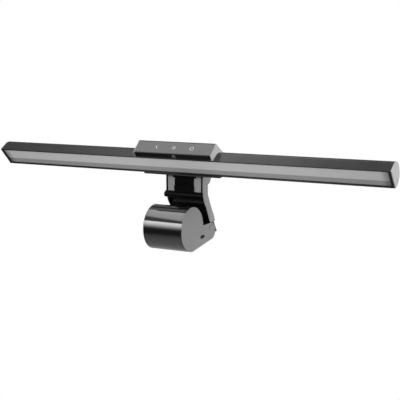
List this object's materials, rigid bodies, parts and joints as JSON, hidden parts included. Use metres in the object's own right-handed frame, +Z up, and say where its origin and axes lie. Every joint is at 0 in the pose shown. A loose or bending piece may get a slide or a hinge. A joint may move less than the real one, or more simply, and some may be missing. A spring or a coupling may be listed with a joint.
{
  "type": "monitor light bar",
  "caption": "Clip-on screen light: long bar with a frosted window and touch module, tilting neck, sprung clip arm and a folding counterweight drum with a power inlet.",
  "frame": {"origin": "middle of the clip's seat, the underside of the pad that rests on the screen's top edge", "axes": "+X along the bar to the right as seen from the front, +Y towards the back of the screen, +Z up"},
  "size_m": [0.45, 0.082, 0.1104],
  "materials": {
    "bar_anodised": "satin anodised dark grey",
    "diffuser_frost": "frosted translucent white",
    "cap_grey": "fine texture light grey",
    "module_grey": "satin dark grey",
    "touch_grey": "satin grey touch face",
    "icon_print": "printed light grey",
    "band_black": "gloss black",
    "sensor_tint": "tinted window",
    "clip_black": "satin black moulded",
    "clip_grey": "satin mid grey moulded",
    "plate_grey": "satin grey paint",
    "drum_dark": "gloss dark grey",
    "drum_cap": "fine texture mid grey",
    "steel": "turned",
    "spring_steel": "oiled spring wire",
    "ballast": "raw",
    "board_green": "solder mask",
    "board_white": "white solder mask",
    "part_black": "moulded chip body",
    "led_phosphor": "yellow phosphor",
    "liner_white": "white reflector film",
    "pad_rubber": "soft grip",
    "lead_black": "cable jacket"
  },
  "bodies": {
    "base": {"clip_base": "clip_grey", "front_hook": "clip_black", "hook_pad": "pad_rubber", "seat_pad": "pad_rubber", "tilt_pin": "steel", "tilt_washers": "steel"},
    "head": {"bar_housing": "bar_anodised", "diffuser": "diffuser_frost", "led_board": "board_white", "led_chips": "led_phosphor", "reflector": "liner_white", "end_cap_left": "cap_grey", "end_cap_right": "cap_grey", "driver_board": "board_green", "driver_parts": "part_black", "control_housing": "module_grey", "touch_panel": "touch_grey", "touch_icons": "icon_print", "front_panel": "band_black", "sensor_window": "sensor_tint", "touch_board": "board_green", "module_wire": "lead_black", "saddle": "module_grey", "neck": "clip_black", "neck_screws": "steel", "head_cable": "lead_black"},
    "arm": {"arm_frame": "clip_black", "arm_side_left": "plate_grey", "arm_side_right": "plate_grey", "arm_rear_cover": "clip_black", "arm_screws": "steel", "arm_hinge_pins": "steel", "arm_spring_left": "spring_steel", "arm_spring_right": "spring_steel", "arm_cable": "lead_black"},
    "drum": {"drum_shell": "drum_dark", "drum_cap_left": "drum_cap", "drum_cap_right": "drum_cap", "drum_screws": "steel", "counterweight": "ballast", "drum_hinge_pin": "steel", "drum_spring": "spring_steel", "usb_socket": "steel", "usb_tongue": "part_black", "usb_board": "board_green"}
  },
  "joints": [
    {"name": "head_tilt", "type": "hinge", "parent": "base", "child": "head", "pos_m": [0, 0.002, 0.009], "axis": [1, 0, 0], "range_deg": [-10, 12]},
    {"name": "arm_open", "type": "hinge", "parent": "base", "child": "arm", "pos_m": [0, 0.006, 0.015], "axis": [1, 0, 0], "range_deg": [0, 70], "stiffness_Nm_per_rad": 0.25, "springref_deg": -74.48},
    {"name": "drum_swing", "type": "hinge", "parent": "arm", "child": "drum", "pos_m": [0, 0.0144, -0.0428], "axis": [1, 0, 0], "range_deg": [0, 80], "stiffness_Nm_per_rad": 0.15, "springref_deg": -103.13}
  ]
}
